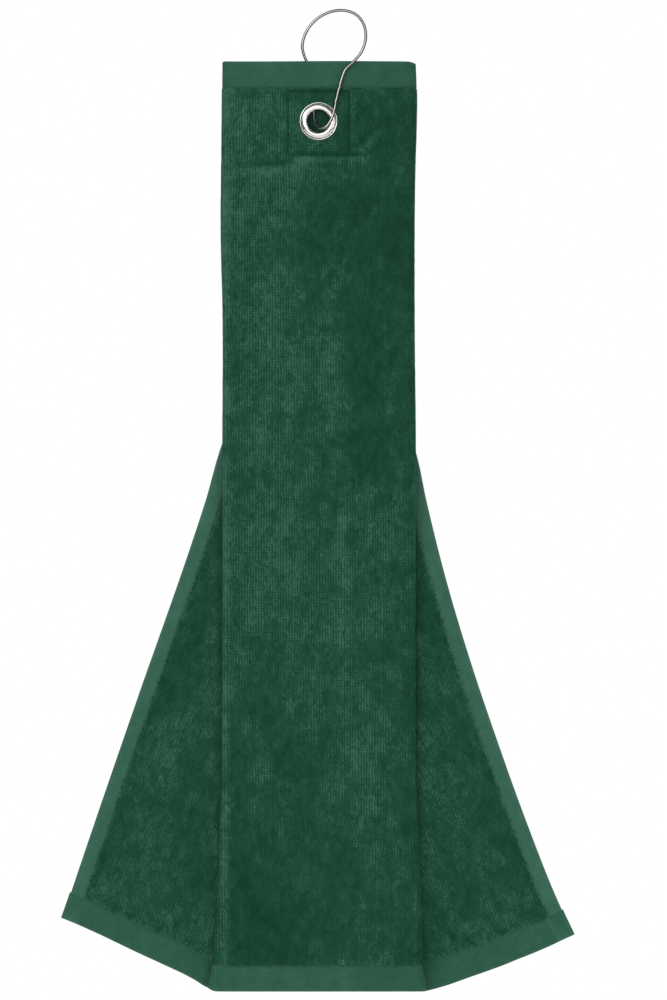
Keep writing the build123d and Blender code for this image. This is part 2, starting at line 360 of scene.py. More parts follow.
def patch_marks(across, t):
    """(height, nap) where the patch behind the grommet presses through, and along the soft crease below it. The
    nap is painted shade in the press lines and creases, with painted highlights beside them.
    """
    left, right, top, bottom = -21.3, 20.6, 20.8, 64.0
    inside_x, inside_t = window(across, left, right), window(t, top, bottom)
    edge = np.maximum(ridge(across - left, 1.3), ridge(across - right, 1.1)) * inside_t * 0.8
    edge = np.maximum(edge, ridge(t - top, 1.2) * inside_x * 0.8)
    reach = step(across, left - 2, left + 10) * fall(across, 25, 36)
    edge = np.maximum(edge, ridge(t - bottom, 1.5) * reach)
    # painted highlights on the cloth just beside the press lines
    lit = ridge(across - right - 2.6, 1.6) * inside_t * 0.5 + ridge(t - bottom - 3.4, 2.2) * reach * 0.55
    lit = lit + ridge(across - left - 2.4, 1.4) * inside_t * 0.25
    fold_t = 70.8 - 2.2 * step(across, -30, -18) - 3 * step(across, 30, 60) - 6 * step(across, 45, 66)
    fold = ridge(t - fold_t, 2.0) * fall(across, -24, -14) * fall(-across, 40, 62)
    low_fold = ridge(t - 106 - 1.5 * np.sin(across / 21), 2.4) * ridge(across - 4, 34)
    height = 0.35 * inside_x * inside_t - 0.7 * edge - 0.8 * fold - 0.4 * low_fold
    # painted light just below the crease
    painted_light_below_crease = ridge(t - fold_t - 5.5, 4.0) * fall(across, -18, 2) * 0.5
    # the slack that runs up to the right from the corner of the patch, painted as a dark line with a light line
    # below it and a light patch at its upper end
    off_line = t - 63 + 24 * np.clip((across - 22) / 28, 0, 1)
    slack = step(across, 19, 26) * fall(across, 36, 50)
    upper = ridge(across - 50 - 0.1 * (t - 30), 2.2) * ridge(t - 32, 9)
    painted_slack_shading = slack * (1.3 * ridge(off_line - 3.2, 4.2) - ridge(off_line + 2.0, 2.4)) + 1.2 * upper
    # painted shade in the press lines and creases, painted light beside them
    return height, -2.5 * edge - 1.8 * fold - 0.9 * low_fold + 1.9 * lit + 1.3 * painted_light_below_crease + painted_slack_shading


def face_forward(across, t):
    """How far the pile face stands forward, with the waves of the cloth and the press marks of the patch."""
    return front_waves(across, t) + patch_marks(across, t)[0]


def cloud_nap(s, t, seed, stretch=1.7):
    """Brushed patches of the pile: above zero where the nap lies open and light, below where it is dark."""
    warp = 9 * fractal(s, t, (26, 40), seed + 31, 3)
    clouds = fractal(s + warp, t + warp, (30, 30 * stretch), seed, 5, 0.62)
    streaks = fractal(s + 0.35 * t + 0.4 * warp, t, (7, 30), seed + 9, 4, 0.62)
    blotch = fractal(s, t, (8, 9), seed + 17, 3, 0.6)
    return 1.15 * clouds + 0.85 * streaks + 0.95 * blotch


# Where the front has been brushed: across, distance down, half width, half length, how light (dark below zero)
BRUSHED = [(-30, 165, 12, 40, 0.4), (-24, 116, 15, 11, 0.5), (10, 212, 11, 30, 0.6), (-30, 268, 18, 34, 0.25),
           (19, 365, 5.5, 70, 0.8), (44, 332, 9, 14, 0.9), (33, 500, 8, 75, 0.6), (-2, 350, 12, 62, -0.9),
           (-44, 350, 14, 30, 0.3), (-50, 560, 20, 60, -0.35), (30, 225, 16, 60, -0.4), (-8, 165, 9, 30, -0.5)]


def front_nap_and_shading(across, t):
    """The nap of the front third: a light band from the upper left to the lower right, and dark beside it, with
    painted highlights along the fold edges and painted light across the middle rows.
    """
    band_at = -42 + 92 * step(t, 180, 640)
    band = ridge(across - band_at, 34) * 0.62
    dark_low = -0.75 * ridge(across + 52, 30) * step(t, 430, 640)
    dark_right = -0.38 * step(across, 5, 50) * fall(t, 380, 560)
    # painted light that brightens the middle rows, to even out the lamps
    middle_rows = 0.5 * ridge(t - 330, 110)
    lower_right = -0.45 * step(across, -5, 25) * step(t, 470, 560)
    # painted highlights along both fold edges; rim then also takes in the middle rows and the darker lower and
    # upper right
    rim = 1.9 * ridge(across + 65.0, 3.4) + 0.7 * ridge(across - 65.5, 2.0) * step(t, 60, 200)
    rim = rim + middle_rows + lower_right - 0.3 * step(t, 480, 560)
    rim = rim - 0.25 * step(across, 0, 30) * fall(t, 120, 220)
    drift = 6 * fractal(across, t, (24, 40), 77, 3)
    brushed = sum(strength * ridge(across + drift - a, wide) * ridge(t + 1.5 * drift - b, long)
                  for a, b, wide, long, strength in BRUSHED)
    return cloud_nap(across, t, 3) + band + dark_low + dark_right + rim + brushed - 0.18


def hem_nap_and_shading(s, t, seed, rim):
    """Hems are slightly uneven, with a painted highlight along their outer edge and a thin darker line right at
    it. rim is the distance from that edge.
    """
    return 0.55 * cloud_nap(s, t, seed) + ridge(rim - 0.6, 0.9) - 0.5 * ridge(rim, 0.45)


def front_piece(name, t_start, t_end, half, material, pitch, columns, ragged=0.0):
    """A stretch of the front cloth and what is folded behind it, from one distance down to another. Pile cloth
    is ragged, with jagged ends, tufts and the marks of the patch in painted shade; the others are hems."""
    around_patch = (18, 74, 1.25)
    downs = spaced(t_start, t_end, pitch, (fine_start(t_start), fine_end(t_end), around_patch))
    rows = [front_path(t, columns) for t in downs]
    across, depth, s, on_face = (np.stack([row[k] for row in rows]) for k in range(4))
    t = np.repeat(downs[:, None], across.shape[1], axis=1)
    if ragged:
        jag = ragged * (fractal(s, 0 * s, (2.4, 9), 5, 2) + 0.6 * fractal(s, 0 * s, (11, 9), 8, 2))
        t = t + jag * (fall(t, t_start, t_start + 8) + step(t, t_end - 8, t_end))
    height, mark_shading = patch_marks(across, t)
    forward = on_face * (front_waves(across, t) + height * bool(ragged))
    # rounded corners at both ends, and the top edge in a slight wave
    corner = 1.9 * ridge(across - 68.5, 4.2) * np.exp(-t / 9) + 0.3 * ridge(across + 67, 1.5) * np.exp(-t / 5)
    low_corner = np.exp((t - LENGTH) / 8) * (3.2 * ridge(across + 78.5, 4.2) + 0.9 * ridge(across - 76.5, 2.4))
    sway = 0.6 * (1 - t / LENGTH) + 0.15 * np.sin(across / 19 + 0.8) * np.exp(-t / 14)
    middle = at(across, depth - forward, -t - corner + low_corner + sway)
    rounded = rounded_edge(np.minimum(t - t[:1], t[-1:] - t))
    tuft = 0.12 * fractal(s, t, (3.1, 3.3), 21, 2) * bool(ragged)
    if ragged:
        nap_and_shading = np.where(depth < FRONT + 2.8, front_nap_and_shading(across, t) + mark_shading, cloud_nap(s, t, 3))
        # painted light along both ends of the pile, to offset the shade on its rounded ends
        nap_and_shading = nap_and_shading + 1.1 * fall(t, t_start - 0.5, t_start + 2.2) + 1.1 * step(t, t_end - 2.2, t_end + 0.5)
    else:
        nap_and_shading = hem_nap_and_shading(s, t, 13, np.minimum(t, LENGTH - t)) + 0.25 - 0.6 * step(across, -20, 60)
    # the materials have the middle of the front at s = 203
    weave, thick = (s + 203, t), half * rounded
    return cloth_mesh(name, middle, thick + tuft * rounded, thick, weave, nap_and_shading, material, (0, 1, 0))


# ---------- the flaps that come out as wings ----------

def flap_point(side, u, share):
    """(outward, up) of a flap at a share of its length down, and u from its hem (0) to its hidden fold (1)."""
    hem, fold = through(HEM_EDGE[side], share), through(SLANT, share)
    base = (1 - u)[..., None] * hem + u[..., None] * fold
    corner, heel = np.array(HEM_EDGE[side][-1]), np.array(SLANT[1])
    straight = (1 - u)[..., None] * corner + u[..., None] * heel
    return base + (share**4)[..., None] * (through(BOTTOM_EDGE[side], u) - straight)


def flap_width(side, share):
    """Distance from the hem to the hidden fold."""
    return np.linalg.norm(through(HEM_EDGE[side], share) - through(SLANT, share), axis=-1)


def wing_waves(side, outward, t):
    """How far a wing bows forward of flat, beyond the crease, so that the folded wing lies clear."""
    free = step(outward, 76, 108)
    soft = 1.3 + 1.3 * fractal(outward, t, (60, 90), 41 + side, 3)
    ripple = 0.5 * fractal(outward, t, (18, 36), 44 + side, 3)
    return np.maximum(soft + ripple, 0) * free


def flap_nap_and_shading(side, outward, s, t):
    # painted light just outside the fold, to offset the shadow it casts, and a thin painted shadow line along
    # it; the right wing is a little darker
    painted_fold_shading = 0.45 * ridge(outward - 72, 5) - 0.3 * ridge(outward - 66, 2.5) - 0.2 * (side > 0)
    beside_hem = -0.22 * ridge(s - 13, 6)
    light = {-1: 0.2 * ridge(s - 52, 26) * step(t, 420, 560), 1: 0.4 * ridge(s - 48, 30) * step(t, 380, 460)}
    return 0.97 * cloud_nap(s, t, 60 + side) + painted_fold_shading + beside_hem + light[side] - 0.1


def flap_surface(side, s, t):
    """(outward, up, depth) of the middle of a flap, at a distance s from its hem edge and t down."""
    share = np.clip(t / LENGTH, 0, 1)
    u = np.clip(s / np.maximum(flap_width(side, share), 1e-3), 0, 1)
    point = flap_point(side, u, share)
    return point[..., 0], point[..., 1], FLAP[side] - wing_waves(side, point[..., 0], t)


def flap_piece(name, side, s_range, t_range, half, material, pitch, ragged=0.0, turned=False, proud=0.0):
    """A stretch of a flap between two distances from its hem edge, the second None for the hidden fold, and two
    distances down. turned adds the bend of that fold, proud moves the outer end out past the edge, and ragged,
    for pile cloth, makes jagged edges and tufts."""
    (s_start, s_end), (t_start, t_end) = s_range, t_range
    downs = spaced(t_start, t_end, pitch, (fine_start(t_start), fine_end(t_end)))
    width = flap_width(side, np.clip(downs / LENGTH, 0, 1))
    if s_end is None:
        reach = width.max() - s_start
        last, ends = width, (fine_start(0),)
    else:
        reach = s_end - s_start
        last, ends = np.minimum(s_end, width), (fine_start(0), fine_end(reach))
    q = spaced(0, reach, pitch, ends) / reach
    s = s_start + (last - s_start)[:, None] * q[None]
    t = np.repeat(downs[:, None], s.shape[1], axis=1)
    if ragged:
        jag = fractal(0 * t, t, (9, 2.4), 71 + side, 2) + 0.6 * fractal(0 * t, t, (9, 12), 74, 2)
        s = s + fall(s, s_start, s_start + 6) * ragged * jag
        jag = fractal(s, 0 * s, (2.4, 9), 77 + side, 2) + 0.7 * fractal(s, 0 * s, (12, 9), 79, 2)
        t = t + step(t, t_end - 8, t_end) * ragged * jag
    outward, up, depth = flap_surface(side, s, t)
    outward = outward + proud * fall(s, 0, 12)
    if turned:
        radius = (FLAP[side] - INNER[side]) / 2
        angle = np.linspace(math.pi / 2, -math.pi / 2, 7)[None, 1:]
        bend_depth = FLAP[side] - radius + radius * np.sin(angle) - depth[:, -1:]
        extras = (-radius * np.cos(angle), 0 * angle, bend_depth, 0 * angle, radius * (math.pi / 2 - angle))
        outward, up, depth, t, s = (np.concatenate([values, values[:, -1:] + extra], axis=1)
                                    for values, extra in zip((outward, up, depth, t, s), extras))
    middle = at(side * outward, depth, up)
    edge = np.minimum(np.minimum(t - t[:1], t[-1:] - t), s - s[:, :1])
    if s_end is not None:
        edge = np.minimum(edge, s[:, -1:] - s)
    rounded = rounded_edge(edge)
    tuft = 0.12 * fractal(s, t, (3.1, 3.3), 23, 2) * bool(ragged)
    if ragged:
        # painted light along the ends of the pile, to offset the shade on their rounded edges
        nap_and_shading = flap_nap_and_shading(side, outward, s, t) + 1.1 * fall(s, s_start - 0.5, s_start + 2.2)
        nap_and_shading = nap_and_shading + 1.1 * step(t, t_end - 2.2, t_end + 0.5)
    else:
        hem = SIDE_HEM[side]
        in_corner = 1.1 * fall(s, hem - 0.8, hem + 0.8) * step(t, BOTTOM_HEM, LENGTH)
        # painted shadow on the bottom hem beside the crease
        painted_fold_shading = -0.9 * ridge(outward - 74, 7) * step(t, 500, 600)
        # painted light on the hem along the pile edge, to offset the shadow the pile casts on it
        painted_light_by_pile = (0.9 + 0.5 * side) * ridge(s - hem, 1.1)
        # painted light on the hem near the crease, to offset the shade there
        painted_light_by_fold = 0.8 * fall(outward, 78, 96) * fall(t, 420, 520)
        nap_and_shading = hem_nap_and_shading(s, t, 53 + side, np.minimum(s, LENGTH - t)) + in_corner + painted_fold_shading
        nap_and_shading = nap_and_shading + painted_light_by_pile + painted_light_by_fold
    return cloth_mesh(name, middle, (half + tuft) * rounded, half * rounded, (s, t), nap_and_shading, material, (0, -1, 0))


# ---------- materials ----------

class Value:
    """An output of a shader node. Arithmetic with it adds maths nodes."""

    def __init__(self, tree, socket):
        self.tree, self.socket = tree, socket

    def math(self, operation, *others):
        return put(self.tree, "ShaderNodeMath", dict(enumerate((self, *others))), operation=operation)

    def __add__(self, other):
        return self.math("ADD", other)

    def __sub__(self, other):
        return self.math("SUBTRACT", other)

    def __mul__(self, other):
        return self.math("MULTIPLY", other)

    def mapped(self, low, high, to_low, to_high):
        """to_low at low and below, to_high at high and above, and even in between."""
        return put(self.tree, "ShaderNodeMapRange", {0: self, 1: low, 2: high, 3: to_low, 4: to_high})

    def ramp(self, *stops):
        """Colours from (place, colour) stops."""
        node = self.tree.nodes.new("ShaderNodeValToRGB")
        connect(self.tree, node, {0: self})
        while len(node.color_ramp.elements) < len(stops):
            node.color_ramp.elements.new(0.5)
        for element, (place, shade) in zip(node.color_ramp.elements, stops):
            element.position, element.color = place, shade
        return Value(self.tree, node.outputs[0])

    def bump(self, distance, strength):
        """The normal of a surface with this height, distance in millimetres."""
        inputs = {"Height": self, "Distance": distance * MM, "Strength": strength}
        return put(self.tree, "ShaderNodeBump", inputs)


def connect(tree, node, inputs):
    """Sets inputs of a node, each to a constant or to the output of another node."""
    for key, value in inputs.items():
        if isinstance(value, Value):
            tree.links.new(value.socket, node.inputs[key])
        else:
            node.inputs[key].default_value = value


def put(tree, kind, inputs=None, output=0, **settings):
    """Adds a node and returns one of its outputs."""
    node = tree.nodes.new(kind)
    for key, value in settings.items():
        setattr(node, key, value)
    connect(tree, node, inputs or {})
    return Value(tree, node.outputs[output])


def new_material(name):
    material = bpy.data.materials.new(name)
    material.use_nodes = True
    return material, material.node_tree, material.node_tree.nodes["Principled BSDF"]


def colour(r, g, b):
    """Linear colour from eight-bit values as a screen shows them."""
    shares = [c / 255 for c in (r, g, b)]
    return (*[c / 12.92 if c <= 0.04045 else ((c + 0.055) / 1.055) ** 2.4 for c in shares], 1)


def separate(tree, vector):
    return [put(tree, "ShaderNodeSeparateXYZ", {0: vector}, output=axis) for axis in range(3)]


def cloth_coordinates(tree):
    """The cloth coordinates in millimetres as a vector, then s, t and the nap with its painted light and shade.
    """
    weave = put(tree, "ShaderNodeAttribute", output="Vector", attribute_name="weave")
    in_mm = put(tree, "ShaderNodeVectorMath", {0: weave, 1: (1 / MM, 1 / MM, 1)}, operation="MULTIPLY")
    s, t, _ = separate(tree, in_mm)
    nap_and_shading = put(tree, "ShaderNodeAttribute", output="Fac", attribute_name="nap_and_shading")
    return in_mm, s, t, nap_and_shading


def cloth_noise(vector, size, detail=3.0, rough=0.6, distortion=0.0):
    """Noise with patches about size (wide, tall) millimetres."""
    tree = vector.tree
    # the third factor keeps the front and the back of the cloth apart
    factors = (1 / size[0], 1 / size[1], 3.7)
    scaled = put(tree, "ShaderNodeVectorMath", {0: vector, 1: factors}, operation="MULTIPLY")
    return put(tree, "ShaderNodeTexNoise", {
        "Vector": scaled, "Scale": 1.0, "Detail": detail, "Roughness": rough, "Distortion": distortion})


def object_noise(tree, scale, detail):
    place = put(tree, "ShaderNodeTexCoord", output="Object")
    return put(tree, "ShaderNodeTexNoise", {"Vector": place, "Scale": scale, "Detail": detail})


def wave(place, pitch):
    """0 to 1 and back over each pitch."""
    return (place * (2 * math.pi / pitch)).math("COSINE") * 0.5 + 0.5


def velour():
    """Cut pile brushed into light and dark patches, with the ribs of the weave showing in the light ones. The
    nap it reads also holds painted shade and highlights.
    """
    material, tree, shader = new_material("velour")
    vector, s, t, nap_and_shading = cloth_coordinates(tree)
    drift = cloth_noise(vector, (9, 16)) - 0.5
    knots = wave(drift * 2.2 + s, RIB_PITCH) * (wave(drift * -2.6 + t, ROW_PITCH) * 0.55 + 0.45)
    knots = knots * (cloth_noise(vector, (1.5, 1.7), 1.0, 0.5) * 2.2 - 0.1)
    grain = cloth_noise(vector, (1.0, 1.5), 2.0, 0.7)
    clumps = cloth_noise(vector, (2.3, 3.2), 2.0, 0.6, 0.4)
    fleck = cloth_noise(vector, (5, 9), 4.0, 0.75, 0.8)
    open_nap = nap_and_shading.mapped(-0.7, 0.6, 0.25, 1.0) * nap_and_shading.mapped(1.1, 2.2, 1.0, 0.4)
    fine = (knots - 0.33) * 0.38 + (grain - 0.5) * 0.62 + (clumps - 0.5) * 0.6
    base = nap_and_shading * 0.145 + 0.51 + (fleck - 0.5) * 1.05 + fine * open_nap
    connect(tree, shader, {
        "Base Color": base.ramp((0.0, colour(13, 60, 41)), (0.3, colour(22, 69, 50)), (0.6, colour(36, 84, 64)),
                                (1.0, colour(69, 117, 96))),
        "Specular IOR Level": 0.12,
        "Sheen Weight": 0.3,
        "Sheen Roughness": 0.3,
        "Sheen Tint": colour(110, 190, 155),
        "Roughness": grain.mapped(0, 1, 0.82, 1.0),
        "Normal": (grain * 0.9 + knots * 0.5 + clumps * 0.9).bump(0.5, 0.75),
    })
    return material


def woven_hem(name, rib_strength, twill_strength, shift=0):
    """Flat woven hem: fine twill, faint ribs, a little mottled. shift makes it lighter (darker below zero)."""
    material, tree, shader = new_material(name)
    vector, s, t, nap_and_shading = cloth_coordinates(tree)
    threads = wave(s + t, TWILL_PITCH) * wave(s - t, TWILL_PITCH)
    ribs, rows = wave(s, HEM_RIB_PITCH), wave(t, RIB_PITCH)
    grain = cloth_noise(vector, (0.9, 0.9), 2.0, 0.7)
    value = nap_and_shading * 0.17 + 0.48 + (threads - 0.25) * twill_strength + (ribs - 0.5) * rib_strength
    value = value + (rows - 0.5) * 0.13 + (grain - 0.5) * 0.5 + (cloth_noise(vector, (9, 9)) - 0.5) * 0.7
    stops = ((0.0, (40, 88, 68)), (0.5, (54, 101, 81)), (1.0, (71, 119, 99)))
    connect(tree, shader, {
        "Base Color": value.ramp(*[(place, colour(*[c + shift for c in shade])) for place, shade in stops]),
        "Specular IOR Level": 0.1,
        "Sheen Weight": 0.05,
        "Sheen Roughness": 0.5,
        "Roughness": grain.mapped(0, 1, 0.75, 0.95),
        "Normal": (threads * 0.7 + ribs * 0.3 + grain * 0.6).bump(0.25, 0.6),
    })
    return material


def thread_material():
    material, tree, shader = new_material("sewing_thread")
    strands = object_noise(tree, 2200.0, 2.0)
    connect(tree, shader, {
        "Base Color": strands.ramp((0.3, colour(46, 93, 73)), (0.7, colour(62, 110, 89))),
        "Roughness": 0.7,
        "Normal": strands.bump(0.1, 0.5),
    })
    return material


def plated(name, tone, smoothest, dullest, scratch):
    """Bright plated metal with a slightly uneven polish, between two roughnesses, and fine marks."""
    material, tree, shader = new_material(name)
    cloud = object_noise(tree, 260.0, 4.0)
    dull = tuple(c * 0.86 for c in tone[:3]) + (1,)
    connect(tree, shader, {
        "Base Color": cloud.ramp((0.3, dull), (0.65, tone)),
        "Metallic": 1.0,
        "Roughness": cloud.mapped(0.3, 0.7, smoothest, dullest),
        "Normal": object_noise(tree, 2600.0, 3.0).bump(0.02, scratch),
    })
    return material


# ---------- metal ----------

def lathe(name, profile, centre, material, segments=96):
    """A closed ring: a profile of (radius, depth) points turned about the front-to-back axis at centre."""
    angle = np.arange(segments)[:, None] * 2 * math.pi / segments
    radius, depth = np.array(profile, float).T
    across, up = centre[0] + np.cos(angle) * radius, centre[1] + np.sin(angle) * radius
    verts = at(across, np.broadcast_to(depth, across.shape), up).reshape(-1, 3)
    grid = np.arange(segments * len(profile)).reshape(segments, -1)
    along, around = np.roll(grid, -1, axis=1), np.roll(grid, -1, axis=0)
    faces = np.stack([grid, along, np.roll(along, -1, axis=0), around], axis=-1).reshape(-1, 4)
    return mesh_object(name, verts, faces.tolist(), material)


def tube_faces(grid):
    """Faces of a tube with closed ends, whose rings of vertices are the rows of grid."""
    turned = np.roll(grid, -1, axis=1)
    sides = np.stack([grid[:-1], turned[:-1], turned[1:], grid[1:]], axis=-1).reshape(-1, 4)
    return [*sides.tolist(), grid[0, ::-1].tolist(), grid[-1].tolist()]


def rounded_profile(points, radius, count=5):
    """A closed profile with each corner rounded by about radius."""
    p = np.array(points, float)
    result = []
    for before, here, after in zip(np.roll(p, 1, 0), p, np.roll(p, -1, 0)):
        back, on = before - here, after - here
        reach = min(radius, 0.45 * np.linalg.norm(back), 0.45 * np.linalg.norm(on))
        a, b = here + unit(back) * reach, here + unit(on) * reach
        for f in np.linspace(0, 1, count):
            result.append((1 - f) ** 2 * a + 2 * f * (1 - f) * here + f**2 * b)
    return result


# Control points of the wire, as (across, depth, up): from behind the towel through the grommet to the front, up,
# round the loop and down behind again
HOOK_ROUTE = [
    (-4.4, 4.1, -22.5), (-3.9, 4.1, -29.5), (-3.6, 3.8, -35.0), (-3.3, 2.4, -39.0), (-2.5, 0.8, -42.4),
    (-0.8, -1.0, -45.0), (1.9, -2.7, -45.7), (5.0, -3.8, -44.8), (8.2, -3.8, -40.5), (10.3, -3.8, -34.5),
    (11.8, -3.8, -27.0), (13.8, -3.8, -17.5), (16.4, -3.8, -9.2), (18.0, -3.8, -5.3), (19.6, -3.8, -3.4),
    (24.6, -3.8, 0.8), (29.6, -3.8, 6.9), (32.5, -3.8, 15.5), (31.9, -3.8, 24.5), (26.8, -2.6, 32.5),
    (18.0, -0.6, 35.9), (8.0, 1.6, 35.2), (-2.1, 3.4, 29.9), (-9.2, 4.1, 21.2), (-12.2, 4.1, 10.8),
    (-9.0, 4.1, 1.2), (-4.2, 4.1, -9.0),
]
# Radius of the wire, points round it, and the extra points of each domed end
WIRE, WIRE_SIDES, DOME = 1.0, 20, 4


def domed(path, ahead):
    """Extra points at both ends, close together, for the rounded tips."""
    steps = [WIRE * (1 - math.cos(math.pi / 2 * k / DOME)) for k in range(DOME)]
    lead = [path[0] + ahead[0] * reach for reach in steps]
    tail = [path[-1] - ahead[-1] * reach for reach in reversed(steps)]
    keep = slice(2, -2)
    directions = np.concatenate([[ahead[0]] * DOME, ahead[keep], [ahead[-1]] * DOME])
    return np.concatenate([lead, path[keep], tail]), directions


def hook(material):
    """The bent wire, with domed ends."""
    curve = bpy.data.curves.new("hook_line", "CURVE")
    curve.dimensions = "3D"
    line = curve.splines.new("NURBS")
    line.points.add(len(HOOK_ROUTE) - 1)
    for point, (across, depth, up) in zip(line.points, HOOK_ROUTE):
        point.co = (*at(across, depth, up), 1)
    line.order_u = 3
    line.use_endpoint_u = True
    line.resolution_u = 14
    holder = scene_object("hook_line", curve)
    bpy.context.view_layer.update()
    sampled = bpy.data.meshes.new_from_object(holder)
    path = np.array([v.co for v in sampled.vertices]) / MM
    bpy.data.objects.remove(holder)
    bpy.data.meshes.remove(sampled)
    # two faint kinks where the shank was bent by pliers
    shank = (path[:, 1] < -3).astype(float)
    height = path[:, 2] - TOWEL_TOP
    path[:, 0] += shank * (0.3 * ridge(height + 17.6, 1.0) - 0.3 * ridge(height + 27.2, 1.0))
    path, ahead = domed(path, unit(np.gradient(path, axis=0)))
    radius = WIRE * np.ones(len(path))
    for k in range(DOME):
        radius[k] = radius[-1 - k] = WIRE * math.sin(math.pi / 2 * (k + 0.35) / (DOME + 0.35))
    # the direction to one side, carried along the wire without twist
    side = np.cross(ahead, (0.0, 0.0, 1.0))
    side[0] = unit(side[0])
    for k in range(1, len(path)):
        side[k] = unit(side[k - 1] - ahead[k] * (side[k - 1] @ ahead[k]))
    other = np.cross(ahead, side)
    angle = (np.arange(WIRE_SIDES) * 2 * math.pi / WIRE_SIDES)[:, None]
    ring = side[:, None] * np.cos(angle) + other[:, None] * np.sin(angle)
    verts = (path[:, None] + ring * radius[:, None, None]).reshape(-1, 3) * MM
    grid = np.arange(len(path) * WIRE_SIDES).reshape(len(path), WIRE_SIDES)
    return mesh_object("hook", verts, tube_faces(grid), material)


def grommet(material):
    """The eyelet, with its barrel, domed rim, groove and outer lip, and the washer behind the patch."""
    centre = (GROMMET_ACROSS, GROMMET_UP)
    # face is the front of the pile, and crown the radius where the rim stands out most
    face, crown = FRONT - 1.1, 9.5
    dome = [(r, face - 1.3 + (0.25 if r < crown else 0.15) * (r - crown) ** 2)
            for r in np.linspace(8.3, 11.8, 18)]
    lip = [(12.36, face - 0.6), (12.42, face - 0.8), (12.54, face - 0.9), (12.76, face - 0.84),
           (12.98, face - 0.64), (13.12, face - 0.36), (13.12, face + 0.1)]
    eyelet = [(7.75, 2.6), (7.7, 1.2), (7.7, face + 0.6), (7.8, face - 0.2), (8.02, face - 0.66), *dome,
              (11.98, face - 0.2), (12.13, face + 0.2), (12.3, face + 0.05), *lip,
              (12.8, face + 0.22), (8.9, face + 0.3), (8.2, face + 0.9), (8.1, 2.0), (9.5, 2.1), (9.5, 2.55),
              (8.4, 2.7)]
    washer = rounded_profile([(8.1, 1.7), (8.1, 2.15), (12.0, 2.15), (12.0, 1.7)], 0.2)
    return lathe("grommet_ring", eyelet, centre, material), lathe("washer_ring", washer, centre, material)


# ---------- small cloth parts ----------

def cut_round_hole(piece, radius):
    """Removes the cloth inside the grommet's barrel, through all of the front layer."""
    x, _, z = at(GROMMET_ACROSS, 0, GROMMET_UP)
    mesh = bmesh.new()
    mesh.from_mesh(piece.data)
    inside = {v for v in mesh.verts
              if math.hypot(v.co.x - x, v.co.z - z) < radius * MM and v.co.y < (FRONT + 2.4) * MM}
    bmesh.ops.delete(mesh, geom=[f for f in mesh.faces if inside.issuperset(f.verts)], context="FACES")
    rims = [e for e in mesh.edges if e.is_boundary]
    for v in {v for e in rims for v in e.verts}:
        stretch = radius * MM / math.hypot(v.co.x - x, v.co.z - z)
        v.co.x, v.co.z = x + (v.co.x - x) * stretch, z + (v.co.z - z) * stretch
    bmesh.ops.bridge_loops(mesh, edges=rims)
    mesh.to_mesh(piece.data)
    mesh.free()
    piece.data.update()


def patch_piece(material):
    """The square of plain cloth sewn behind the grommet, with turned edges."""
    low, high = node_mm("reinforcement_patch")
    x, z = np.meshgrid(np.linspace(low[0], high[0], 46), np.linspace(high[2], low[2], 48))
    x, z = x - TOWEL_X, z - TOWEL_TOP
    edge = np.minimum(np.minimum(x - x.min(), x.max() - x), np.minimum(z - z.min(), z.max() - z))
    half = 0.22 + 0.08 * fall(edge, 4.2, 5.2) * step(edge, 0, 0.8) + 0.03 * fractal(x, z, (5, 5), 91, 2)
    nap_and_shading = 0.3 * fractal(x, z, (12, 12), 92)
    middle = at(x, (low[1] + high[1]) / 2, z)
    return cloth_mesh("patch_cloth", middle, half, half, (x, -z), nap_and_shading, material, (0, -1, 0))


def patch_seam(inset=2.4):
    """The square line of stitching on the front of the patch."""
    low, high = node_mm("reinforcement_patch")
    left, right = low[0] - TOWEL_X + inset, high[0] - TOWEL_X - inset
    bottom, top = low[2] - TOWEL_TOP + inset, high[2] - TOWEL_TOP - inset
    corners = ((left, top), (right, top), (right, bottom), (left, bottom), (left, top))
    return [(across, low[1], up) for across, up in corners]


def stitches(name, line, forward, material, pitch=2.6, length=2.0, radius=0.2):
    """Short lengths of sewing thread along a line of (across, depth, up) points, bowed a little forward."""
    points = np.array(line, float)
    spans = lengths_along(points)
    verts, faces = [], []
    # each stitch is a row of six rings of six vertices
    count = 6
    ring = np.arange(count) * 2 * math.pi / count
    bow = np.sin(np.linspace(0, math.pi, count))
    thick = radius * np.sqrt(np.clip(bow + 0.25, 0, 1))
    lift = np.array((0.0, -1.0, 0.0))
    for start in np.arange(0.5, spans[-1] - length, pitch):
        places = np.linspace(start, start + length, count)
        path = np.stack([np.interp(places, spans, points[:, k]) for k in range(3)], axis=-1)
        path[:, 1] -= forward + 0.16 * bow - 0.1
        over = np.cross(unit(path[-1] - path[0]), lift)
        faces += tube_faces(len(verts) + np.arange(count * count).reshape(count, count))
        for centre, r in zip(path, thick):
            verts += [centre + r * (math.cos(a) * over + math.sin(a) * lift) for a in ring]
    return mesh_object(name, at(*np.array(verts).T), faces, material)


def fringe(name, roots, directions, lengths, thickness, weave, nap_and_shading, material):
    """Pile fibres as one mesh: thin curved spikes from roots (across, depth, up) along directions, each with
    three rings of three vertices."""
    direction = unit(directions)
    aside = unit(np.cross(direction, (0.3, 0.2, 0.93)))
    other = np.cross(direction, aside)
    verts = []
    for share, size in ((0.0, 1.0), (0.55, 0.8), (1.0, 0.15)):
        centre = roots + direction * (lengths * share)[:, None]
        centre[:, 2] -= 0.25 * lengths * share**2
        for k in range(3):
            a = k * 2 * math.pi / 3
            verts.append(centre + (aside * math.cos(a) + other * math.sin(a)) * (thickness * size)[:, None])
    verts = np.stack(verts, axis=1).reshape(-1, 3)
    fibre = tube_faces(np.arange(9).reshape(3, 3))
    faces = [[9 * k + v for v in face] for k in range(len(roots)) for face in fibre]
    piece = mesh_object(name, at(*verts.T), faces, material)
    s, t, nap_and_shading = (np.repeat(values, 9) for values in (*weave, nap_and_shading))
    store_cloth(piece, s, t, np.zeros(len(verts)), nap_and_shading)
    return piece


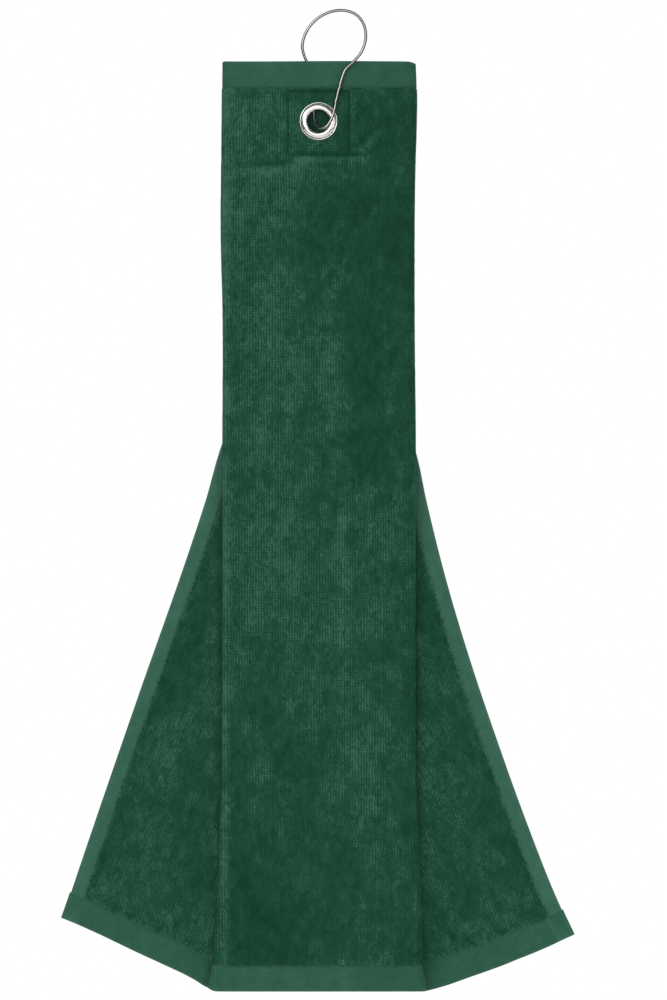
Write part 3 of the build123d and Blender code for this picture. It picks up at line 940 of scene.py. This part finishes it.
# ---------- build ----------

def declare(piece, slot, *nodes, body=None):
    """Hides the CAD nodes that a piece stands for and puts it on the body it rides; slot, what the piece is made
    of, is not used.
    """
    if body:
        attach(piece, body)
    if nodes:
        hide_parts(*nodes)


velour_cloth = velour()
top_hem_cloth = woven_hem("hem_twill", 0.05, 0.26)
side_hem_cloth = woven_hem("hem_side_ribbed", 0.02, 0.3, 7)
ribbed_hem_cloth = woven_hem("hem_ribbed", 0.13, 0.12, -4)
patch_cloth = woven_hem("patch_plain_weave", 0.1, 0.3, -8)
thread = thread_material()
nickel = plated("nickel_plate", colour(243, 238, 237), 0.1, 0.18, 0.05)
wire_metal = plated("polished_wire", colour(134, 132, 131), 0.1, 0.16, 0.04)

even_columns = face_columns(1.35)
pile_columns = face_columns(1.7, ((-24.5, 24.5, 1.15),))
front = front_piece("front_velour", TOP_HEM - OVERLAP, BOTTOM_HEM + OVERLAP, PILE, velour_cloth, 1.9,
                    pile_columns, ragged=0.45)
top_hem = front_piece("top_hem", 0, TOP_HEM + 0.4, HEM, top_hem_cloth, HEM_PITCH, even_columns)
bottom_hem = front_piece("bottom_hem", BOTTOM_HEM - 0.4, LENGTH, HEM, ribbed_hem_cloth, HEM_PITCH, even_columns)
declare(front, "velour", "center_panel", "left_crease_fold", "right_crease_fold", "left_side_panel",
        "right_side_panel", body="towel")
declare(top_hem, "hem", "center_top_hem", "left_panel_top_hem", "right_panel_top_hem", body="towel")
declare(bottom_hem, "hem", "center_bottom_hem", body="towel")
cut_round_hole(front, 8.4)

flaps = {}
for side, place in NAMES.items():
    hem = SIDE_HEM[side]
    cloth = flap_piece(f"{place}_flap_velour", side, (hem - 0.4, None), (62, BOTTOM_HEM + OVERLAP), PILE,
                       velour_cloth, 1.6, ragged=0.4, turned=True)
    edge_hem = flap_piece(f"{place}_side_hem", side, (0, hem + 0.3), (24, BOTTOM_HEM + 6), HEM - 0.05,
                          side_hem_cloth, HEM_PITCH)
    low_hem = flap_piece(f"{place}_bottom_hem", side, (0, None), (BOTTOM_HEM - 0.3, LENGTH), HEM + 0.12,
                         ribbed_hem_cloth, HEM_PITCH, turned=True, proud=0.8)
    flaps[side] = (cloth, edge_hem, low_hem)
    declare(cloth, "velour", f"{place}_wing_panel")
    declare(edge_hem, "hem", f"{place}_wing_side_hem", f"{place}_hidden_side_hem")
    declare(low_hem, "hem", f"{place}_wing_bottom_hem")

patch = patch_piece(patch_cloth)
cut_round_hole(patch, 8.1)
declare(patch, "patch_cloth", "reinforcement_patch", body="towel")
seam = stitches("patch_thread", patch_seam(), 0.0, thread)
declare(seam, "thread", "patch_stitching", body="towel")

declare(hook(wire_metal), "hook_wire", "hook_wire", body="hook")
ring, washer = grommet(nickel)
declare(ring, "grommet", "grommet_eyelet", body="towel")
declare(washer, "grommet", "grommet_washer", body="towel")

# Rows of tufts where the pile overlaps the hems, and the fuzz of the folds
dice = np.random.default_rng(7)


def tufts(name, count, row, face, away, size, lean=0.35):
    """Pile fibres at random places. row is a function and its last arguments; it gives (across, depth, up, s, t,
    nap) for two random numbers each. face is the side that the pile looks to, away the direction that the fibres
    lie in, or a function that gives it for (across, up), and size their shortest and longest length and their
    thickness."""
    place, *details = row
    across, depth, up, s, t, nap_and_shading = place(dice.random(count), dice.random(count), *details)
    roots = np.stack([across, depth, up], axis=-1)
    length = size[0] + (size[1] - size[0]) * dice.random(count) ** 1.6
    lie = away(across, up) if callable(away) else away
    direction = np.stack(np.broadcast_arrays(*lie), axis=-1) + lean * dice.normal(size=(count, 3))
    direction[:, 1] = direction[:, 1] * 0.35 + face * 0.12
    thickness = size[2] * (0.6 + 0.8 * dice.random(count))
    # painted light: the fibres are made much lighter than the cloth they grow from, to offset the shade among
    # them
    nap_and_shading = nap_and_shading + 0.8 * dice.normal(size=count) + 2.2
    piece = fringe(name, roots, direction, length, thickness, (s, t), nap_and_shading, velour_cloth)
    return piece


def front_row(q, r, t_edge):
    across, t = -66.5 + 133 * q, t_edge + ROW_SPREAD * (r - 0.5)
    return across, FRONT - face_forward(across, t) - ROOT, -t + 0.35, across, t, front_nap_and_shading(across, t)


def back_row(q, r):
    across, t = -57 + 122 * q, TOP_HEM + ROW_SPREAD * (r - 0.5)
    return across, INNER[1] + ROOT + 0 * q, -t, across, t, 0.3 * np.sin(across / 9)


def on_flap(side, face, s, t):
    outward, up, depth = flap_surface(side, s, t)
    return side * outward, depth + face * ROOT, up, s, t, flap_nap_and_shading(side, outward, s, t)


def side_row(q, r, side, face):
    return on_flap(side, face, SIDE_HEM[side] + 1.0 * (r - 0.4), 240 + (BOTTOM_HEM - 240) * q)


def low_row(q, r, side, face):
    s = SIDE_HEM[side] + (128 - SIDE_HEM[side]) * q
    return on_flap(side, face, s, BOTTOM_HEM - 0.2 + ROW_SPREAD * (r - 0.5))


def fold_row(q, r, side):
    radius = (INNER[side] - FRONT) / 2
    outer, turn = radius + PILE * 0.8, math.pi * (r - 0.75)
    t = 22 + (BOTTOM_HEM - 24) * q
    across = side * (table(CREASE[side], t) - PILE - radius + outer * np.cos(turn))
    return across, FRONT + radius + outer * np.sin(turn), -t + 0.35, across, t, 0.5 + 0.3 * np.sin(t / 7)


def grommet_row(q, r):
    turn, reach = 2 * math.pi * q, 12.9 + 1.5 * r
    across, up = GROMMET_ACROSS + reach * np.cos(turn), GROMMET_UP + reach * np.sin(turn)
    return across, FRONT - face_forward(across, -up) - 0.9, up, across, -up, 0.6 + 0 * q


def from_grommet(across, up):
    """The direction outwards from the grommet and forward."""
    a, b = across - GROMMET_ACROSS, up - GROMMET_UP
    return a / np.hypot(a, b), -0.9, b / np.hypot(a, b)


FUZZ, FLAP_PILE = (0.35, 0.8, 0.12), (0.8, 1.9, 0.32)
for piece in (
    tufts("top_pile_edge", 520, (front_row, TOP_HEM), -1, (0, -0.1, 1), (1.0, 2.3, 0.34)),
    tufts("bottom_pile_edge", 520, (front_row, BOTTOM_HEM), -1, (0, -0.1, -1), (0.8, 2.0, 0.32)),
    tufts("back_pile_edge", 480, (back_row,), 1, (0, 0.1, 1), (1.0, 2.2, 0.34)),
    tufts("left_fold_fuzz", 1500, (fold_row, -1), -1, (-1, -1.2, 0), FUZZ, 0.5),
    tufts("right_fold_fuzz", 1500, (fold_row, 1), -1, (1, -1.2, 0), FUZZ, 0.5),
    tufts("grommet_pile_edge", 260, (grommet_row,), -1, from_grommet, (0.6, 1.4, 0.2)),
):
    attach(piece, "towel")
for side, name in NAMES.items():
    beside, below = (side * 0.94, 0, 0.33), (side * 0.4, 0, -0.92)
    for face, where in ((-1, "front"), (1, "back")):
        flaps[side] += (
            tufts(f"{name}_side_pile_{where}", 1000, (side_row, side, face), face, beside, FLAP_PILE),
            tufts(f"{name}_low_pile_{where}", 420, (low_row, side, face), face, below, FLAP_PILE),
        )

# Sewing threads along the hems
for place, t_line in (("top", TOP_HEM - 1.9), ("bottom", BOTTOM_HEM + 1.9)):
    across = np.linspace(-65, 65, 90)
    depth = FRONT - front_waves(across, t_line + 0 * across) - HEM
    line = np.stack([across, depth, -t_line + 0.35 + 0 * across], axis=-1)
    piece = stitches(f"{place}_hem_thread", line, 0.1, thread)
    declare(piece, "thread", f"{place}_hem_stitching", body="towel")
for side, name in NAMES.items():
    # down beside the side hem, then in along the bottom hem
    t, s = np.linspace(250, BOTTOM_HEM + 1.5, 120), np.linspace(SIDE_HEM[side] - 1.6, 122, 70)
    down = np.stack(flap_surface(side, s[0] + 0 * t, t), axis=-1) - (0, 0, HEM)
    along = np.stack(flap_surface(side, s, BOTTOM_HEM + 1.7 + 0 * s), axis=-1) - (0, 0, HEM + 0.15)
    outward, up, depth = np.concatenate([down, along]).T
    line = np.stack([side * outward, depth, up], axis=-1)
    piece = stitches(f"{name}_wing_thread", line, 0.1, thread)
    declare(piece, "thread", f"{name}_wing_stitching")
    flaps[side] += (piece,)

# Each flap bends from the towel to its wing over the strip beside the crease
for side, pieces in flaps.items():
    start, end = at(side * 64, FLAP[side], -400), at(side * 78, FLAP[side], -400)
    for piece in pieces:
        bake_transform(piece, "towel", f"{NAMES[side]}_wing", start=tuple(start), end=tuple(end))


# ---------- floor, light and camera ----------

def floor():
    verts = [(-1.6, -1.6, -0.95), (1.6, -1.6, -0.95), (1.6, 1.6, -0.95), (-1.6, 1.6, -0.95)]
    material, tree, shader = new_material("pale_floor")
    cloud = object_noise(tree, 3.0, 3.0)
    connect(tree, shader, {
        "Base Color": cloud.ramp((0.2, colour(236, 236, 236)), (0.8, colour(244, 244, 244))),
        "Roughness": 0.9,
    })
    mesh_object("floor", verts, [(0, 1, 2, 3)], material)


def area_light(name, place, size, power):
    """A rectangle of light towards the middle of the towel, which the camera doesn't see."""
    data = bpy.data.lights.new(name, "AREA")
    data.shape = "RECTANGLE"
    data.size, data.size_y, data.energy = size[0], size[1], power
    lamp = scene_object(name, data)
    lamp.location = place
    lamp.rotation_mode = "QUATERNION"
    lamp.rotation_quaternion = (Vector((0, 0, -0.36)) - Vector(place)).to_track_quat("-Z", "Y")
    lamp.visible_camera = False


def light():
    """White for the camera, a soft room for the cloth, bright panels for the metal, and three lamps."""
    world = bpy.data.worlds.new("pale_studio")
    bpy.context.scene.world = world
    world.use_nodes = True
    tree = world.node_tree
    x, y, z = separate(tree, put(tree, "ShaderNodeTexCoord", output="Generated"))

    def towards(value, power):
        return value.math("MAXIMUM", 0).math("POWER", power)

    def panel(across, half):
        share = across * (1 / half)
        return (share * share * -1 + 1).math("MAXIMUM", 0)

    room = towards(y * -1, 14) * 0.4 + 0.08 + towards(z, 2) * 1.2 + towards(z * -1, 2) * 0.5
    # metal reflects a bright panel ahead and a long one towards the upper left, with dark between
    facing = panel(x, 0.36) * panel(z + 0.05, 0.85)
    along, beside = z * 0.45 + x * -0.89, z * 0.89 + x * 0.45
    bright = panel(along - 0.42, 0.46) * panel(beside, 0.2) * 4.4 + facing * 0.78
    mirrored = bright * y.mapped(-0.1, 0.3, 1.0, 0.3) + 0.09
    lit = (mirrored - room) * put(tree, "ShaderNodeLightPath", output="Is Glossy Ray") + room
    strength = lit.math("MAXIMUM", put(tree, "ShaderNodeLightPath", output="Is Camera Ray"))
    connect(tree, tree.nodes["Background"], {"Color": (1, 1, 1, 1), "Strength": strength})
    area_light("key", (-1.0, -2.6, 0.6), size=(2.2, 2.4), power=26)
    area_light("fill", (1.8, -2.4, 0.1), size=(1.4, 2.2), power=12)
    area_light("back", (1.2, 2.6, 0.9), size=(1.8, 1.8), power=30)


def camera():
    """Straight on from far away, so that the towel is seen without perspective."""
    data = bpy.data.cameras.new("camera")
    distance, view_height = 9.0, 0.688
    data.sensor_width = 36
    data.lens = data.sensor_width * distance / view_height
    eye = scene_object("camera", data)
    eye.location = (-0.0044, -distance, -0.3359)
    eye.rotation_euler = (math.pi / 2, 0, 0)
    data.clip_end = 100
    bpy.context.scene.camera = eye


floor()
light()
camera()
bpy.context.scene.view_settings.view_transform = "Standard"
